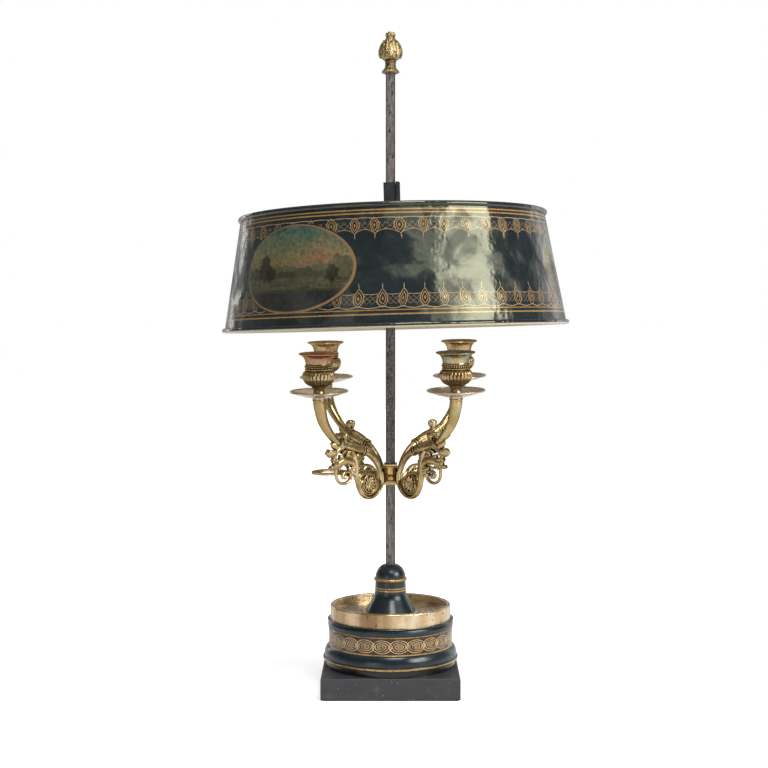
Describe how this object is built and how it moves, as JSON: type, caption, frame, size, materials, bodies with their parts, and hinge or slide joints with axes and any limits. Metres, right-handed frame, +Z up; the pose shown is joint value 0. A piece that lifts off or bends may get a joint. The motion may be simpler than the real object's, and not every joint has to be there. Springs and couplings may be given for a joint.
{
  "type": "bouillotte lamp",
  "caption": "Candle lamp with a square steel stem on a turned drum base, a sliding cluster of horn-shaped candle arms with sockets and drip pans, and a sliding conical metal shade.",
  "frame": {"origin": "middle of the baize face under the plinth, on the axis of the square stem", "axes": "+Z up along the stem, -Y towards the viewer of the lamp's front, +X to the viewer's right"},
  "size_m": [0.3877, 0.3878, 0.735],
  "materials": {
    "ebonised_wood": "ebonised, rubbed dull, scuffed",
    "baize": "worn green baize",
    "green_japan": "glossy dark green japan with gilt lines",
    "cast_iron": "rough casting, out of sight",
    "spun_brass": "polished, spotted with age",
    "steel_bar": "pitted grey-brown patina",
    "gilt_brass": "cast and gilt, rubbed, darker in the recesses",
    "tinned_brass": "pale worn tinning over brass",
    "shade_japan": "glossy dark green japan with gilt borders",
    "black_iron": "blackened wrought iron"
  },
  "bodies": {
    "base": {"plinth": "ebonised_wood", "plinth_baize": "baize", "drum_shell": "green_japan", "drum_weight": "cast_iron", "gallery_ring": "spun_brass", "gallery_tray": "spun_brass", "stem_socket": "green_japan", "stem": "steel_bar", "stem_washer": "steel_bar", "stem_nut": "steel_bar", "finial_base": "gilt_brass", "finial_bud": "gilt_brass"},
    "cluster": {"arm_collar": "gilt_brass", "arm_front_left": "gilt_brass", "arm_front_right": "gilt_brass", "arm_back_left": "gilt_brass", "arm_back_right": "gilt_brass", "horn_front_left": "gilt_brass", "horn_front_right": "gilt_brass", "horn_back_left": "gilt_brass", "horn_back_right": "gilt_brass", "bracket_front_left": "gilt_brass", "bracket_front_right": "gilt_brass", "bracket_back_left": "gilt_brass", "bracket_back_right": "gilt_brass", "drip_pan_front_left": "tinned_brass", "drip_pan_front_right": "tinned_brass", "drip_pan_back_left": "tinned_brass", "drip_pan_back_right": "tinned_brass", "candle_socket_front_left": "gilt_brass", "candle_socket_front_right": "gilt_brass", "candle_socket_back_left": "gilt_brass", "candle_socket_back_right": "gilt_brass"},
    "key": {"lock_key": "gilt_brass"},
    "shade": {"shade_skin": "shade_japan", "shade_top_rim": "shade_japan", "shade_bottom_rim": "shade_japan", "shade_spider": "black_iron", "shade_sleeve": "black_iron"},
    "wedge": {"shade_wedge": "black_iron"}
  },
  "joints": [
    {"name": "cluster_slide", "type": "slide", "parent": "base", "child": "cluster", "axis": [0, 0, 1], "range_m": [-0.08, 0.05]},
    {"name": "lock_key_turn", "type": "hinge", "parent": "cluster", "child": "key", "pos_m": [-0.03, 0.0011, 0.23867], "axis": [-0.9991, 0.0418, -0.0107], "range_deg": [0, 180]},
    {"name": "shade_slide", "type": "slide", "parent": "base", "child": "shade", "axis": [0, 0, 1], "range_m": [-0.06, 0.09]},
    {"name": "wedge_slide", "type": "slide", "parent": "shade", "child": "wedge", "axis": [0, 0, 1], "range_m": [0, 0.025]}
  ]
}
